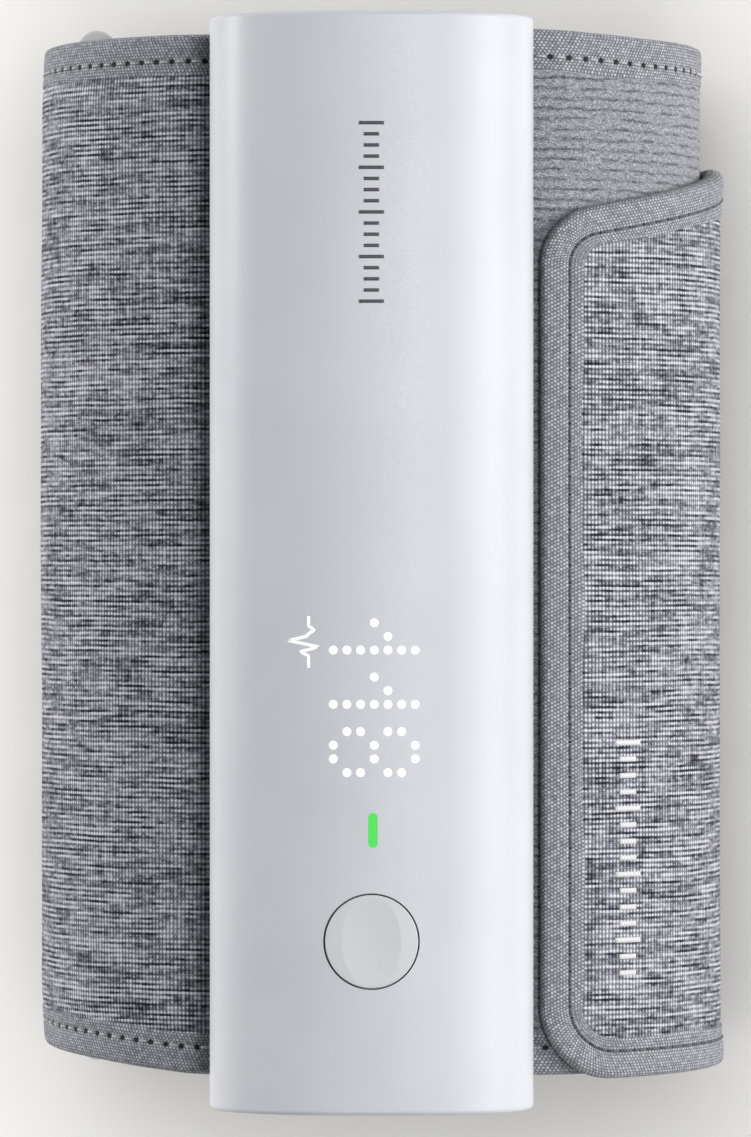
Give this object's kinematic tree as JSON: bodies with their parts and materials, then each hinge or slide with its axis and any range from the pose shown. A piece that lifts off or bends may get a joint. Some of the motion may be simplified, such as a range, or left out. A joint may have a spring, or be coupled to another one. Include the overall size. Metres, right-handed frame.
{
  "type": "upper arm blood pressure monitor",
  "caption": "Upper arm blood pressure monitor: a white oval tube with a dot display and a flush button, fixed along a rolled grey fabric cuff closed through a wire loop.",
  "frame": {"origin": "on the resting surface, below the middle of the tube, at the centre of the cuff's flattened back", "axes": "+Z out of the tube's front, +Y along the tube towards the end away from the button, +X towards the folded-back flap"},
  "size_m": [0.1029, 0.1612, 0.095],
  "materials": {
    "tube_plastic": "satin moulded white plastic",
    "button_plastic": "satin moulded white plastic",
    "light_guide": "diffusing moulded plastic",
    "status_lens": "translucent, lit green from below",
    "electronics": "moulded component bodies",
    "board": "solder mask on glass fibre",
    "inner_plastic": "moulded, textured",
    "steel": "bright machined steel",
    "cell_wrap": "shrink-wrapped cell",
    "foam": "closed-cell foam",
    "hose_rubber": "silicone",
    "brass_parts": "turned brass",
    "bladder_film": "thermoplastic film, matt",
    "melange": "grey melange weave with fine ribs",
    "fleece": "brushed loop pile, ribbed",
    "binding": "woven binding tape, stitched",
    "hook": "moulded hooks on tape",
    "wire_chrome": "bright nickel-plated wire"
  },
  "bodies": {
    "body": {"air_hose": "hose_rubber", "air_manifold": "inner_plastic", "air_nozzle": "brass_parts", "battery": "cell_wrap", "battery_foam": "foam", "bladder": "bladder_film", "board_screws": "steel", "charging_socket": "steel", "chassis": "inner_plastic", "cuff_screws": "steel", "cuff_stiffener": "inner_plastic", "display_light_guide": "light_guide", "end_cap_bottom": "tube_plastic", "end_cap_top": "tube_plastic", "led_matrix": "electronics", "main_board": "board", "mount_saddle": "tube_plastic", "panel_binding_bottom": "binding", "panel_binding_top": "binding", "panel_lining": "melange", "panel_outer": "melange", "pressure_sensor": "electronics", "pump_head": "inner_plastic", "pump_motor": "steel", "radio_module": "steel", "ring_hem": "melange", "status_led": "electronics", "status_light_pipe": "status_lens", "strap_base_binding": "binding", "strap_base_fabric": "melange", "strap_base_fleece": "fleece", "strap_return_binding": "binding", "strap_return_fabric": "melange", "strap_return_fleece": "fleece", "tact_switch": "electronics", "tube_shell": "tube_plastic", "valve_body": "steel", "valve_spring": "steel"},
    "button": {"button_cap": "button_plastic", "switch_plunger": "inner_plastic"},
    "flap": {"flap_fabric": "melange", "hook_patch": "hook", "flap_binding": "binding"},
    "ring": {"wire_ring": "wire_chrome"},
    "pump_rotor": {"pump_shaft": "steel"},
    "valve": {"valve_plunger": "brass_parts"}
  },
  "joints": [
    {"name": "button_press", "type": "slide", "parent": "body", "child": "button", "axis": [0, 0, -1], "range_m": [0, 0.0005], "stiffness_N_per_m": 900, "springref_m": -0.0006},
    {"name": "flap_peel", "type": "hinge", "parent": "body", "child": "flap", "pos_m": [0.0529, 0, 0.03385], "axis": [0, 1, 0], "range_deg": [0, 100]},
    {"name": "ring_swing", "type": "hinge", "parent": "body", "child": "ring", "pos_m": [-0.0442, 0.0028, 0.0275], "axis": [0, 1, 0], "range_deg": [-4, 4]},
    {"name": "pump_spin", "type": "hinge", "parent": "body", "child": "pump_rotor", "pos_m": [0, 0.046, 0.0805], "axis": [0, 1, 0], "continuous": true},
    {"name": "valve_open", "type": "slide", "parent": "body", "child": "valve", "axis": [0, -1, 0], "range_m": [0, 0.0006], "stiffness_N_per_m": 400, "springref_m": -0.0008, "deforming": ["valve_spring"]}
  ]
}
